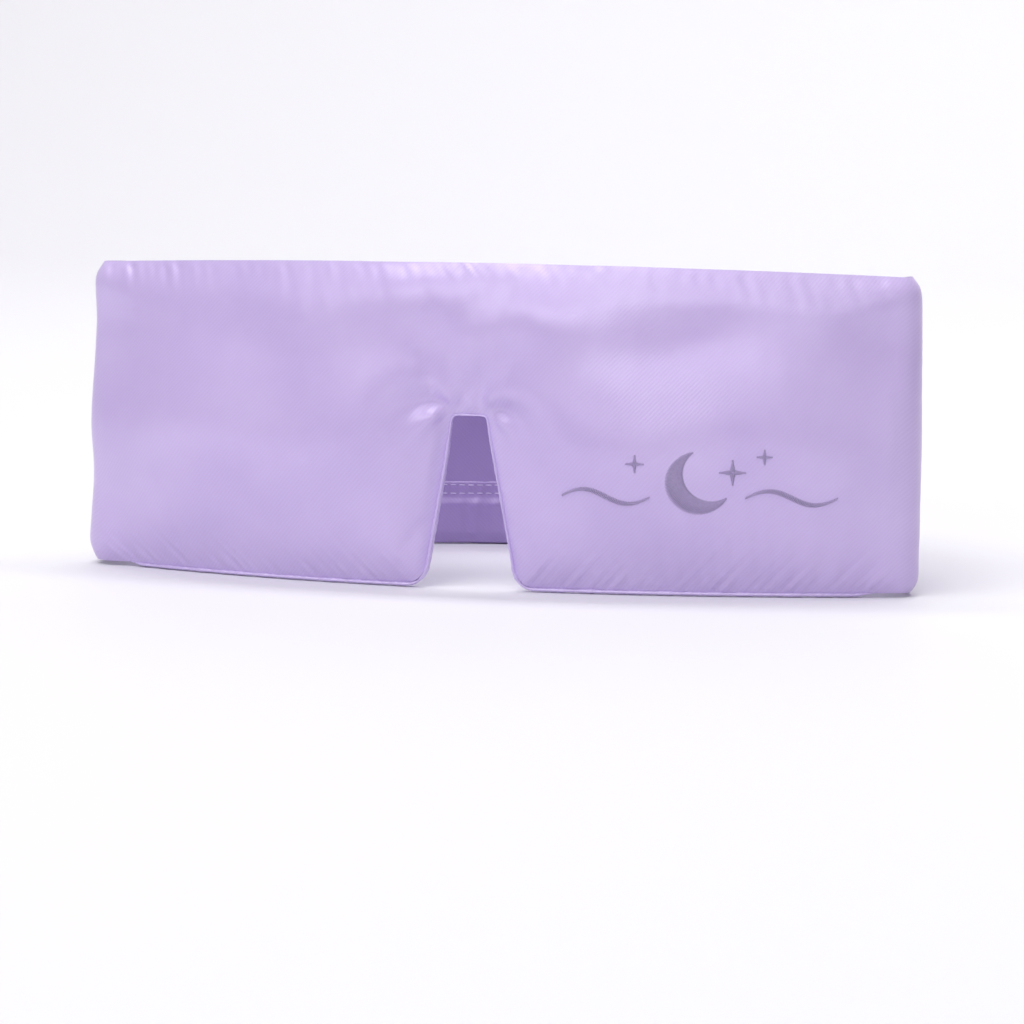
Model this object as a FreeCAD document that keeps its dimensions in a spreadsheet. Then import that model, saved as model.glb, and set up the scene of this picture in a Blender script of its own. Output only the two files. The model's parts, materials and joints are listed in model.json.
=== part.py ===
import FreeCAD, Part
import math
import os

import Sketcher

# A padded wrap-around sleep mask, standing closed on its lower edge. Millimetres and degrees, +Z up.
# The front panel is a padded arc with a nose notch and faces -Y. A wing folds back from each end of
# it and carries a strap, and the right strap's flap laps over the outside of the left strap.
# The origin is at the centre of the bounding box's bottom face.

doc = FreeCAD.newDocument("sleep_mask")
dims = doc.addObject("Spreadsheet::Sheet", "dims")
V = FreeCAD.Vector

DRIVING = {
    # the loop, seen from above
    "half_span": 123.0,
    "chord_y": -29.45,
    "front_sagitta": 22.0,
    "back_depth": 82.0,
    "lap_step": 6.2,
    "bend_angle": 40.0,
    "flap_angle": 18.0,
    "flap_tip_angle": -17.0,
    "inner_tip_angle": 13.0,
    # the padded front
    "front_height": 93.2,
    "end_height": 90.0,
    "front_thick": 13.0,
    "seam_half": 0.9,
    "front_end_gap": 3.2,
    "edge_roll_height": 1.1,
    "edge_roll_width": 2.4,
    "pad_inset": 4.0,
    "pad_edge": 0.4,
    "pad_slack": 0.1,
    "brow_drop": 41.8,
    "blackout_thick": 0.4,
    # the nose notch
    "notch_mouth": 28.5,
    "notch_top": 10.0,
    "notch_rise": 50.0,
    "notch_top_round": 3.0,
    "notch_foot_round": 4.5,
    # wings, straps and flap
    "skin": 0.6,
    "gap": 0.1,
    "band_thick": 4.0,
    "wing_height": 88.0,
    "strap_height": 85.0,
    "fold_round": 2.0,
    "fold_room": 0.4,
    "body_room": 0.7,
    "flap_round": 12.0,
    # elastic casings inside the straps
    "casing_height": 19.5,
    "casing_skin": 0.5,
    "casing_lip": 1.5,
    "casing_sewn": 4.6,
    "elastic_thick": 1.0,
    "row_one": 1.2,
    "row_pitch": 2.6,
    "thread": 0.3,
    # hook-and-loop closure
    "tape_thick": 0.9,
    "tape_height": 42.0,
    "tape_inset": 3.0,
    # care label and embroidery
    "label_width": 14.0,
    "label_height": 26.0,
    "label_thick": 0.3,
    "motif_x": 67.0,
    "motif_z": 33.0,
    "motif_thick": 0.5,
    "moon_size": 9.0,
    "star_size": 3.6,
    "swash_width": 1.1,
}
for row, (alias, value) in enumerate(DRIVING.items(), start=1):
    dims.set(f"A{row}", alias)
    dims.set(f"B{row}", str(value))
    dims.setAlias(f"B{row}", alias)
doc.recompute()


def size(expression):
    """The number that an expression of the sheet's aliases stands for."""
    return float(dims.evalExpression(expression))


def polar(radius, angle):
    """A point on a circle about the origin, at an angle from +Y towards +X."""
    turn = math.radians(angle)
    return V(radius * math.sin(turn), radius * math.cos(turn), 0)


class Arc:
    """An upright arc of the loop: its centre, middle radius and two ends, as angles from +Y towards +X."""

    def __init__(self, centre, radius, start, end):
        self.centre, self.radius = centre, radius
        self.start, self.end = start, end

    def place(self):
        """The placement that puts a solid revolved evenly about +X here."""
        middle = (self.start + self.end) / 2
        return FreeCAD.Placement(self.centre, FreeCAD.Rotation(V(0, 0, 1), 90 - middle))

    def sweep(self):
        return abs(self.end - self.start)

    def part(self, start, end):
        return Arc(self.centre, self.radius, start, end)

    def trimmed(self, first, last):
        """The same arc, shorter by a length at each end."""
        way = 1 if self.end > self.start else -1
        per_mm = math.degrees(1 / self.radius)
        return self.part(self.start + way * first * per_mm, self.end - way * last * per_mm)


def arc_through(fold, bend, back_centre):
    """The arc from the fold to the bend that runs on smoothly into the circle about back_centre."""
    inward = (back_centre - bend).normalize()
    way = fold - bend
    radius = way.Length**2 / (2 * inward.dot(way))
    centre = bend + inward * radius

    def angle(point):
        return math.degrees(math.atan2(point.x - centre.x, point.y - centre.y))

    return Arc(centre, radius, angle(fold), angle(bend))


# The loop's circles. The straps share one centre, so that the lap between them is even.
SPAN, SAGITTA, DEPTH = size("half_span"), size("front_sagitta"), size("back_depth")
CHORD = V(0, size("chord_y"), 0)
FRONT_RADIUS = (SPAN**2 + SAGITTA**2) / (2 * SAGITTA)
BACK_RADIUS = (SPAN**2 + DEPTH**2) / (2 * DEPTH)
FRONT_CENTRE = CHORD + V(0, FRONT_RADIUS - SAGITTA, 0)
BACK_CENTRE = CHORD + V(0, DEPTH - BACK_RADIUS, 0)
OUTER_RADIUS = BACK_RADIUS + size("lap_step") / 2
INNER_RADIUS = BACK_RADIUS - size("lap_step") / 2
FRONT_HALF = math.degrees(math.asin(SPAN / FRONT_RADIUS))

RIGHT_FOLD = CHORD + V(SPAN, 0, 0)
LEFT_FOLD = CHORD - V(SPAN, 0, 0)
RIGHT_BEND = BACK_CENTRE + polar(OUTER_RADIUS, size("bend_angle"))
LEFT_BEND = BACK_CENTRE + polar(INNER_RADIUS, -size("bend_angle"))
FLAP_FOLD = BACK_CENTRE + polar(OUTER_RADIUS, size("flap_angle"))

HALF_BAND = size("fold_round")
AFTER_FOLD = HALF_BAND + size("fold_room")
BEFORE_FOLD = HALF_BAND + size("body_room")

FRONT = Arc(FRONT_CENTRE, FRONT_RADIUS, 180 + FRONT_HALF, 180 - FRONT_HALF).trimmed(
    size("front_end_gap"), size("front_end_gap")
)
RIGHT_WING = arc_through(RIGHT_FOLD, RIGHT_BEND, BACK_CENTRE).trimmed(AFTER_FOLD, BEFORE_FOLD)
LEFT_WING = arc_through(LEFT_FOLD, LEFT_BEND, BACK_CENTRE).trimmed(AFTER_FOLD, BEFORE_FOLD)
RIGHT_STRAP = Arc(BACK_CENTRE, OUTER_RADIUS, size("bend_angle"), size("flap_angle")).trimmed(
    AFTER_FOLD, BEFORE_FOLD
)
FLAP = Arc(BACK_CENTRE, OUTER_RADIUS, size("flap_angle"), size("flap_tip_angle")).trimmed(AFTER_FOLD, 0)
LEFT_STRAP = Arc(BACK_CENTRE, INNER_RADIUS, -size("bend_angle"), size("inner_tip_angle")).trimmed(
    AFTER_FOLD, 0
)

parts = []


def keep(item, label):
    """Names a finished sub-part."""
    item.Label = label
    parts.append(item)
    return item


def plane_of(body, role):
    return next(f for f in body.Origin.OriginFeatures if f.Role == role)


def bind(sketch, kind, references, expression):
    """Adds a dimension to a sketch and binds it to an expression of the sheet's aliases."""
    number = sketch.addConstraint(Sketcher.Constraint(kind, *references, size(expression)))
    sketch.setExpression(f"Constraints[{number}]", linked(expression))


def linked(expression):
    """The expression with each alias written as the sheet's own."""
    words, word = [], ""
    for letter in expression + " ":
        if letter.isalnum() or letter == "_":
            word += letter
            continue
        words.append("dims." + word if word in DRIVING else word)
        words.append(letter)
        word = ""
    return "".join(words).strip()


def outline(sketch, corners):
    """A closed outline of straight sides between corners (x, y), each bound to the sheet."""
    at = [V(size(x), size(y), 0) for x, y in corners]
    count = len(at)
    for i, point in enumerate(at):
        sketch.addGeometry(Part.LineSegment(point, at[(i + 1) % count]), False)
    for i in range(count):
        sketch.addConstraint(Sketcher.Constraint("Coincident", i, 2, (i + 1) % count, 1))
    for i, (x, y) in enumerate(corners):
        bind(sketch, "DistanceX", (-1, 1, i, 1), x)
        bind(sketch, "DistanceY", (-1, 1, i, 1), y)


def lens_outline(sketch, radius, faces, low, high):
    """A section between two curved faces, each given by its offsets at the edges and at mid-height."""
    middle = f"({low} + {high}) / 2"
    (outer_edge, outer_middle), (inner_edge, inner_middle) = faces

    def at(offset, height):
        return V(radius + size(offset), size(height), 0)

    outer = Part.Arc(at(outer_edge, low), at(outer_middle, middle), at(outer_edge, high))
    top = Part.LineSegment(at(outer_edge, high), at(inner_edge, high))
    inner = Part.Arc(at(inner_edge, high), at(inner_middle, middle), at(inner_edge, low))
    bottom = Part.LineSegment(at(inner_edge, low), at(outer_edge, low))
    for side in (outer, top, inner, bottom):
        sketch.addGeometry(side, False)
    ends = ((outer_edge, low), (outer_edge, high), (inner_edge, high), (inner_edge, low))
    for i, (edge, height) in enumerate(ends):
        line = (3, 1, 1, 3)[i]
        end = (2, 1, 2, 1)[i]
        bind(sketch, "DistanceX", (-1, 1, line, end), f"{radius!r} + {edge}")
        bind(sketch, "DistanceY", (-1, 1, line, end), height)


def section_of(body, name):
    sketch = body.newObject("Sketcher::SketchObject", name + "_section")
    sketch.AttachmentSupport = [(plane_of(body, "XZ_Plane"), "")]
    sketch.MapMode = "FlatFace"
    return sketch


def revolve(body, sketch, arc):
    """Revolves a section evenly either side of the body's +X, and places the body on the arc."""
    turn = body.newObject("PartDesign::Revolution", body.Name + "_turn")
    turn.Profile = sketch
    turn.ReferenceAxis = (sketch, ["V_Axis"])
    turn.Midplane = True
    turn.Angle = arc.sweep()
    body.Placement = arc.place()
    doc.recompute()
    return body


def bar(name, arc, corners):
    """A band along an arc. Corners give its section, as offsets from the middle radius and heights."""
    body = doc.addObject("PartDesign::Body", name)
    sketch = section_of(body, name)
    outline(sketch, [(f"{arc.radius!r} + {offset}", height) for offset, height in corners])
    return revolve(body, sketch, arc)


def box_section(inner, outer, low, high):
    return [(inner, low), (outer, low), (outer, high), (inner, high)]


def post(name, place, radius, height):
    """An upright round post, with its radius and height bound to the sheet."""
    cylinder = doc.addObject("Part::Cylinder", name)
    cylinder.setExpression("Radius", linked(radius))
    cylinder.setExpression("Height", linked(height))
    cylinder.Placement = FreeCAD.Placement(place, FreeCAD.Rotation())
    return cylinder


def cut_through(body, corners, role="YZ_Plane", rounds=()):
    """Cuts an outline right through a body, square to one of its own planes."""
    sketch = body.newObject("Sketcher::SketchObject", body.Name + "_cut")
    sketch.AttachmentSupport = [(plane_of(body, role), "")]
    sketch.MapMode = "FlatFace"
    if rounds:
        rounded_outline(sketch, corners, rounds)
    else:
        outline(sketch, corners)
    before = body.Tip.Shape.Volume
    cut = body.newObject("PartDesign::Pocket", body.Name + "_pocket")
    cut.Profile = sketch
    cut.Type = 1
    cut.Midplane = True
    doc.recompute()
    if not cut.Shape.Volume < before - 1e-6:
        raise ValueError(f"{body.Name}: the pocket cuts nothing")
    return cut


def rounded_outline(sketch, corners, rounds):
    """A closed outline whose corners are arcs where rounds gives a radius."""
    at = [V(size(x), size(y), 0) for x, y in corners]
    count = len(at)
    turns = []
    for i, corner in enumerate(at):
        back = (at[i - 1] - corner).normalize()
        on = (at[(i + 1) % count] - corner).normalize()
        if not rounds[i]:
            turns.append((corner, None, corner))
            continue
        half = math.acos(max(-1.0, min(1.0, back.dot(on)))) / 2
        radius = size(rounds[i])
        reach = radius / math.tan(half)
        bisector = (back + on).normalize()
        middle = corner + bisector * (radius / math.sin(half) - radius)
        turns.append((corner + back * reach, middle, corner + on * reach))
    for i in range(count):
        start, middle, end = turns[i]
        if middle is not None:
            number = sketch.addGeometry(Part.Arc(start, middle, end), False)
            bind(sketch, "Radius", (number,), rounds[i])
        sketch.addGeometry(Part.LineSegment(end, turns[(i + 1) % count][0]), False)
    doc.recompute()


def checked(items):
    for item in items:
        if "Invalid" in item.State or "Error" in item.State:
            raise ValueError(f"{item.Label} has failed: {item.State}")


# ---- the padded front ------------------------------------------------------------------------

ROLL_TOP = "edge_roll_height"
HALF_THICK = "front_thick / 2"
OUTER_FACE = ("seam_half", HALF_THICK)
COVER_BACK = ("seam_half - skin", f"{HALF_THICK} - skin")
BLACKOUT_FACE = ("seam_half - skin - gap", f"{HALF_THICK} - skin - gap")
BLACKOUT_BACK = (
    "seam_half - skin - gap - blackout_thick",
    f"{HALF_THICK} - skin - gap - blackout_thick",
)
LINING_FRONT = ("-(seam_half - skin)", f"-({HALF_THICK} - skin)")
LINING_FACE = ("-seam_half", f"-({HALF_THICK})")


def front_layer(name, outer, inner, low=ROLL_TOP, high="front_height", arc=FRONT):
    """One padded layer of the front panel, before anything is cut from it."""
    body = doc.addObject("PartDesign::Body", name)
    sketch = section_of(body, name)
    lens_outline(sketch, arc.radius, (outer, inner), low, high)
    return revolve(body, sketch, arc)


def notch_corners(margin):
    """The notch's outline, larger by margin: a mouth as wide as the lobes' rounded feet, then the sides."""
    wide = "notch_mouth / 2 + 2 * notch_foot_round"
    foot, head = f"notch_mouth / 2 + {margin}", f"notch_top / 2 + {margin}"
    rise = f"notch_rise + {margin}"
    return [
        (f"-({wide})", "-5"),
        (wide, "-5"),
        (wide, margin),
        (foot, margin),
        (head, rise),
        (f"-({head})", rise),
        (f"-({foot})", margin),
        (f"-({wide})", margin),
    ]


def notch_rounds(margin):
    """The radius of each of those corners. A larger outline turns tighter round the lobes' feet."""
    foot, head = f"notch_foot_round - {margin}", f"notch_top_round + {margin}"
    return ("", "", "", foot, head, head, foot, "")


def cut_notch(body, margin):
    cut_through(body, notch_corners(margin), rounds=notch_rounds(margin))


def cut_arch(body, drop):
    """The top edge's gentle arch, lower by drop."""
    sketch = body.newObject("Sketcher::SketchObject", body.Name + "_arch")
    sketch.AttachmentSupport = [(plane_of(body, "YZ_Plane"), "")]
    sketch.MapMode = "FlatFace"
    end, top = size("end_height") - drop, size("front_height") - drop
    high = size("front_height") + 5
    left, right = V(-SPAN, end, 0), V(SPAN, end, 0)
    sketch.addGeometry(Part.Arc(left, V(0, top, 0), right), False)
    sketch.addGeometry(Part.LineSegment(right, V(SPAN, high, 0)), False)
    sketch.addGeometry(Part.LineSegment(V(SPAN, high, 0), V(-SPAN, high, 0)), False)
    sketch.addGeometry(Part.LineSegment(V(-SPAN, high, 0), left), False)
    cut = body.newObject("PartDesign::Pocket", body.Name + "_arch_pocket")
    cut.Profile = sketch
    cut.Type = 1
    cut.Midplane = True
    doc.recompute()


def front_skin(name, outer, inner):
    body = front_layer(name, outer, inner)
    cut_notch(body, "edge_roll_height + gap")
    cut_arch(body, 0.0)
    return keep(body, name)


front_skin("front_cover", OUTER_FACE, COVER_BACK)
front_skin("blackout_layer", BLACKOUT_FACE, BLACKOUT_BACK)
front_skin("front_lining", LINING_FRONT, LINING_FACE)

PAD_FACE = ("pad_edge", f"{HALF_THICK} - skin - 2 * gap - blackout_thick - pad_slack")
PAD_BACK = ("-pad_edge", f"-({HALF_THICK} - skin - gap - pad_slack)")
PAD_LOW = "edge_roll_height + pad_inset"
PAD_HIGH = "front_height - pad_inset"
BROW_LOW = "front_height - brow_drop"


def pad(name, x_low, x_high, low, high):
    """The part of the padding between two upright planes and two heights."""
    body = front_layer(name + "_layer", PAD_FACE, PAD_BACK, PAD_LOW, PAD_HIGH)
    cut_notch(body, "2 * edge_roll_height")
    cut_arch(body, size("pad_inset"))
    block = doc.addObject("Part::Box", name + "_region")
    block.setExpression("Length", linked(f"({x_high}) - ({x_low})"))
    block.setExpression("Width", linked("front_sagitta + 2 * front_thick"))
    block.setExpression("Height", linked(f"({high}) - ({low})"))
    block.Placement.Base = V(size(x_low), CHORD.y - SAGITTA - size("front_thick"), size(low))
    piece = doc.addObject("Part::Common", name)
    piece.Base = body
    piece.Tool = block
    doc.recompute()
    return piece


FRONT_EDGE = "half_span - 2"
LOBE_TOP = "front_height - brow_drop - gap"
keep(pad("left_eye_pad", f"-({FRONT_EDGE})", "-gap", "0", LOBE_TOP), "left_eye_pad")
keep(pad("right_eye_pad", "gap", FRONT_EDGE, "0", LOBE_TOP), "right_eye_pad")
keep(pad("brow_pad", f"-({FRONT_EDGE})", FRONT_EDGE, BROW_LOW, "front_height"), "brow_pad")

# The lining rolls out below the cover as a thin edge along each lobe, and binds the notch.
NOTCH_HALF_ANGLE = math.degrees(size("notch_mouth / 2 + 2 * notch_foot_round + gap") / FRONT_RADIUS)
LOBES = {
    "left_edge_roll": FRONT.part(FRONT.start, 180 + NOTCH_HALF_ANGLE),
    "right_edge_roll": FRONT.part(180 - NOTCH_HALF_ANGLE, FRONT.end),
}
for name, lobe in LOBES.items():
    roll = bar(name, lobe, box_section("-edge_roll_width / 2", "edge_roll_width / 2", "0", ROLL_TOP))
    keep(roll, name)


def notch_plate(name, margin):
    """An upright plate with the notch's outline."""
    body = doc.addObject("PartDesign::Body", name)
    sketch = body.newObject("Sketcher::SketchObject", name + "_outline")
    sketch.AttachmentSupport = [(plane_of(body, "XZ_Plane"), "")]
    sketch.MapMode = "FlatFace"
    rounded_outline(sketch, notch_corners(margin), notch_rounds(margin))
    plate = body.newObject("PartDesign::Pad", name + "_pad")
    plate.Profile = sketch
    plate.Midplane = True
    plate.setExpression("Length", linked("edge_roll_width"))
    body.Placement.Base = V(0, CHORD.y - SAGITTA, 0)
    doc.recompute()
    return body


binding = doc.addObject("Part::Cut", "notch_binding")
binding.Base = notch_plate("notch_outside", "edge_roll_height")
binding.Tool = notch_plate("notch_inside", "0")
keep(binding, "notch_binding")

# ---- wings, straps and flap --------------------------------------------------------------------

HALF = "band_thick / 2"
COVER_LIP = f"-({HALF}) + skin + gap"
CASING_MOUTH = f"-({HALF}) - gap"
CASING_BACK = f"-({HALF}) - 2 * gap - elastic_thick"
CASING_FACE = f"-({HALF}) - 2 * gap - elastic_thick - casing_skin"


def band(name, arc, height):
    """A cover that wraps the outside and both edges, the padding in it and the lining that closes it."""
    cover = bar(
        name + "_cover",
        arc,
        [
            (COVER_LIP, "0"),
            (HALF, "0"),
            (HALF, height),
            (COVER_LIP, height),
            (COVER_LIP, f"{height} - skin"),
            (f"{HALF} - skin", f"{height} - skin"),
            (f"{HALF} - skin", "skin"),
            (COVER_LIP, "skin"),
        ],
    )
    filling = bar(
        name + "_padding",
        arc,
        box_section(COVER_LIP, f"{HALF} - skin - gap", "skin + gap", f"{height} - skin - gap"),
    )
    lining = bar(name + "_lining", arc, box_section(f"-({HALF})", f"-({HALF}) + skin", "0", height))
    return cover, filling, lining


def round_tip(body, arc, side):
    """Rounds the two corners at a strap's free end, which lies on that side of the body's own X."""
    tip = side * arc.radius * math.sin(math.radians(arc.sweep() / 2))
    reach, top = size("flap_round"), size("strap_height")
    beyond = tip + side * reach
    sketch = body.newObject("Sketcher::SketchObject", body.Name + "_tip")
    sketch.AttachmentSupport = [(plane_of(body, "YZ_Plane"), "")]
    sketch.MapMode = "FlatFace"
    for edge, way in ((0.0, 1), (top, -1)):
        turn = V(tip - side * reach, edge + way * reach, 0)
        start, end = V(turn.x, edge, 0), V(tip, turn.y, 0)
        middle = turn + V(side, -way, 0) * (reach * math.sqrt(0.5))
        below = edge - way * reach
        points = [end, V(beyond, turn.y, 0), V(beyond, below, 0), V(turn.x, below, 0), start]
        sketch.addGeometry(Part.Arc(start, middle, end), False)
        for a, b in zip(points, points[1:]):
            sketch.addGeometry(Part.LineSegment(a, b), False)
    cut = body.newObject("PartDesign::Pocket", body.Name + "_tip_pocket")
    cut.Profile = sketch
    cut.Type = 1
    cut.Midplane = True
    doc.recompute()


def keep_band(name, arc, height, fold, free_side=0):
    """Keeps a band's pieces, with its free end rounded if it has one, and the padding in its fold."""
    for piece in band(name, arc, height):
        if free_side:
            round_tip(piece, arc, free_side)
        keep(piece, piece.Name)
    keep(post(name + "_fold_padding", fold, "fold_round", height), name + "_fold_padding")


keep_band("right_wing", RIGHT_WING, "wing_height", RIGHT_FOLD)
keep_band("left_wing", LEFT_WING, "wing_height", LEFT_FOLD)
keep_band("right_strap", RIGHT_STRAP, "strap_height", RIGHT_BEND)
keep_band("left_strap", LEFT_STRAP, "strap_height", LEFT_BEND, free_side=-1)
keep_band("flap", FLAP, "strap_height", FLAP_FOLD, free_side=1)



def casing(side, level, arc):
    """A hem sewn to the strap's inner face, and the flat elastic that lies in it."""
    if level == "lower":
        low, high = "0", "casing_height"
        below, above = "casing_lip", "casing_sewn"
    else:
        low, high = "strap_height - casing_height", "strap_height"
        below, above = "casing_sewn", "casing_lip"
    hem = bar(
        f"{side}_{level}_casing",
        arc,
        [
            (CASING_MOUTH, low),
            (CASING_MOUTH, f"{low} + {below}"),
            (CASING_BACK, f"{low} + {below}"),
            (CASING_BACK, f"{high} - {above}"),
            (CASING_MOUTH, f"{high} - {above}"),
            (CASING_MOUTH, high),
            (CASING_FACE, high),
            (CASING_FACE, low),
        ],
    )
    elastic = bar(
        f"{side}_{level}_elastic",
        arc,
        box_section(
            f"{CASING_BACK} + gap",
            CASING_MOUTH,
            f"{low} + {below} + gap",
            f"{high} - {above} - gap",
        ),
    )
    keep(hem, hem.Name)
    keep(elastic, elastic.Name)


def stitch_rows(side, arc):
    """Two rows of thread along the folded edge of each casing."""
    rows = []
    for level, edge, way in (
        ("lower", "casing_height", "-"),
        ("upper", "strap_height - casing_height", "+"),
    ):
        for number, depth in enumerate(("row_one", "row_one + row_pitch")):
            at = f"{edge} {way} ({depth})"
            row = bar(
                f"{side}_{level}_row_{number}",
                arc,
                box_section(
                    f"{CASING_FACE} - thread", CASING_FACE, f"{at} - thread / 2", f"{at} + thread / 2"
                ),
            )
            rows.append(row)
    group = doc.addObject("Part::Compound", f"{side}_casing_stitches")
    group.Links = rows
    keep(group, group.Name)


STRAPS = {"right": RIGHT_STRAP.trimmed(1.0, 0.5), "left": LEFT_STRAP.trimmed(1.0, 2.0)}
for side, arc in STRAPS.items():
    casing(side, "lower", arc)
    casing(side, "upper", arc)
    stitch_rows(side, arc)

# The hook tape is on the flap's inner face, and the loop tape faces it on the inner strap.
TAPE_LOW = "(strap_height - tape_height) / 2"
TAPE_HIGH = "(strap_height + tape_height) / 2"
HOOK_ARC = FLAP.trimmed(size("tape_inset + 4"), size("tape_inset"))
LOOP_ARC = Arc(BACK_CENTRE, INNER_RADIUS, -size("bend_angle") + 8, LEFT_STRAP.end).trimmed(
    0, size("tape_inset")
)
keep(
    bar("hook_tape", HOOK_ARC, box_section(f"-({HALF}) - tape_thick", f"-({HALF})", TAPE_LOW, TAPE_HIGH)),
    "hook_tape",
)
keep(bar("loop_tape", LOOP_ARC, box_section(HALF, f"{HALF} + tape_thick", TAPE_LOW, TAPE_HIGH)), "loop_tape")


def stitched_frame(name, arc, inner, outer, low, high):
    """A rectangle of thread round a tape."""
    body = bar(name, arc, box_section(inner, outer, low, high))
    reach = (arc.radius + size(inner)) * math.sin(math.radians(arc.sweep() / 2)) - size("2 * thread")
    cut_through(
        body,
        [
            (f"-({reach!r})", f"{low} + thread"),
            (f"{reach!r}", f"{low} + thread"),
            (f"{reach!r}", f"{high} - thread"),
            (f"-({reach!r})", f"{high} - thread"),
        ],
    )
    return keep(body, name)


SEWN_LOW, SEWN_HIGH = f"{TAPE_LOW} + 1.5", f"{TAPE_HIGH} - 1.5"
HOOK_SEWN, LOOP_SEWN = HOOK_ARC.trimmed(1.5, 1.5), LOOP_ARC.trimmed(1.5, 1.5)
stitched_frame("hook_stitches", HOOK_SEWN, HALF, f"{HALF} + thread", SEWN_LOW, SEWN_HIGH)
stitched_frame("loop_stitches", LOOP_SEWN, f"-({HALF}) - thread", f"-({HALF})", SEWN_LOW, SEWN_HIGH)

# A blank care label sewn to the left wing's lining, near the lower edge.
LABEL_TURN = math.degrees(size("label_width") / LEFT_WING.radius) / 2
LABEL_MIDDLE = (LEFT_WING.start + LEFT_WING.end) / 2
label = bar(
    "care_label",
    LEFT_WING.part(LABEL_MIDDLE - LABEL_TURN, LABEL_MIDDLE + LABEL_TURN),
    box_section(f"-({HALF}) - gap - label_thick", f"-({HALF}) - gap", "3", "3 + label_height"),
)
keep(label, "care_label")

# ---- the embroidered motif -------------------------------------------------------------------------


def ring(points):
    return Part.makePolygon(points + points[:1])


def star(x, z, reach):
    """A four-pointed star."""
    points = []
    for turn in range(8):
        length = reach if turn % 2 == 0 else reach * 0.36
        angle = math.radians(45 * turn)
        points.append(V(x + length * math.cos(angle), 0, z + length * math.sin(angle)))
    return Part.Face(ring(points))


def moon(x, z, reach):
    """A crescent: a disc less a disc that stands up and to the right of it."""
    facing = V(0, 1, 0)
    disc = Part.Face(Part.Wire(Part.makeCircle(reach, V(x, 0, z), facing)))
    bite = Part.Face(
        Part.Wire(Part.makeCircle(reach * 0.86, V(x + reach * 0.42, 0, z + reach * 0.3), facing))
    )
    return disc.cut(bite)


def swash(x_low, x_high, z, rise, width):
    """A shallow wave with blunt ends, as two curved edges."""
    middle = (x_low + x_high) / 2
    quarter = (x_high - x_low) / 4

    def edge(offset):
        first = Part.Arc(
            V(x_low, 0, z + offset), V(x_low + quarter, 0, z + rise + offset), V(middle, 0, z + offset)
        )
        last = Part.Arc(
            V(middle, 0, z + offset), V(middle + quarter, 0, z - rise + offset), V(x_high, 0, z + offset)
        )
        return [first.toShape(), last.toShape()]

    upper, lower = edge(width / 2), edge(-width / 2)
    ends = [
        Part.makeLine(V(x_low, 0, z + width / 2), V(x_low, 0, z - width / 2)),
        Part.makeLine(V(x_high, 0, z + width / 2), V(x_high, 0, z - width / 2)),
    ]
    return Part.Face(Part.Wire(Part.__sortEdges__(upper + lower + ends)))


def motif_shapes():
    x, z = size("motif_x"), size("motif_z")
    reach, spark, width = size("moon_size"), size("star_size"), size("swash_width")
    return [
        moon(x, z, reach),
        star(x + 1.05 * reach, z + 0.35 * reach, spark),
        star(x + 2.0 * reach, z + 0.85 * reach, 0.6 * spark),
        star(x - 1.9 * reach, z + 0.6 * reach, 0.7 * spark),
        swash(x - 4.2 * reach, x - 1.45 * reach, z - 0.45 * reach, 0.22 * reach, width),
        swash(x + 1.45 * reach, x + 4.2 * reach, z - 0.45 * reach, 0.22 * reach, width),
    ]


relief = front_layer(
    "motif_relief", ("seam_half + motif_thick", f"{HALF_THICK} + motif_thick"), OUTER_FACE
)
depth = SAGITTA + 2 * size("front_thick")
solids = []
for flat in motif_shapes():
    flat.translate(V(0, CHORD.y - depth, 0))
    solids += flat.extrude(V(0, depth, 0)).common(relief.Shape).Solids
motif = doc.addObject("Part::Feature", "embroidered_motif")
motif.Shape = Part.makeCompound(solids)
motif.Placement = FreeCAD.Placement()
keep(motif, "embroidered_motif")

# ---- checks and export ---------------------------------------------------------------------------

doc.recompute()
checked(doc.Objects)
os.makedirs("parts", exist_ok=True)
for item in parts:
    shape = item.Shape
    if shape.isNull() or not shape.isValid() or not shape.Solids:
        raise ValueError(f"{item.Label} has no valid solid")
for item in parts:
    item.Shape.exportStep(f"parts/{item.Label}.step")
whole = Part.makeCompound([item.Shape for item in parts]).BoundBox
print(f"{len(parts)} parts, box {whole.XLength:.2f} x {whole.YLength:.2f} x {whole.ZLength:.2f}")
print(f"middle {(whole.XMin + whole.XMax) / 2:.3f}, {(whole.YMin + whole.YMax) / 2:.3f}")
for name, point in {
    "right_fold": RIGHT_FOLD,
    "left_fold": LEFT_FOLD,
    "right_bend": RIGHT_BEND,
    "left_bend": LEFT_BEND,
    "flap_fold": FLAP_FOLD,
}.items():
    print(f"{name} axis {point.x:.4f}, {point.y:.4f}")
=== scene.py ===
import json
import math

import bpy
import numpy as np
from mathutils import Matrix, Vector
from mathutils.bvhtree import BVHTree


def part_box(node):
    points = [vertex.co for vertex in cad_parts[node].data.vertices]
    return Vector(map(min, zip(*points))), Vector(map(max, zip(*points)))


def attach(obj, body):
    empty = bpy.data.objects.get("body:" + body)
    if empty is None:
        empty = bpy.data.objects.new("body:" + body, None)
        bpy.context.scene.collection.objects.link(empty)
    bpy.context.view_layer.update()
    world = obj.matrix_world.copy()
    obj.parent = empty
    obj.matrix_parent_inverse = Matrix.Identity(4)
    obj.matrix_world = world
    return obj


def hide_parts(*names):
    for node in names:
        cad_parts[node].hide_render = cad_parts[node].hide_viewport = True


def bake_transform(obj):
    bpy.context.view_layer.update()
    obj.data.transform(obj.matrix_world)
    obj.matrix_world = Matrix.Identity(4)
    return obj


# A padded satin sleep mask, closed in a loop and standing on its lower edge. The cloth is laid out
# flat as length, thickness and height in millimetres, blown up by a cloth simulation, and then
# wrapped round the loop's line, which comes from the frame's joints.

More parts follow.
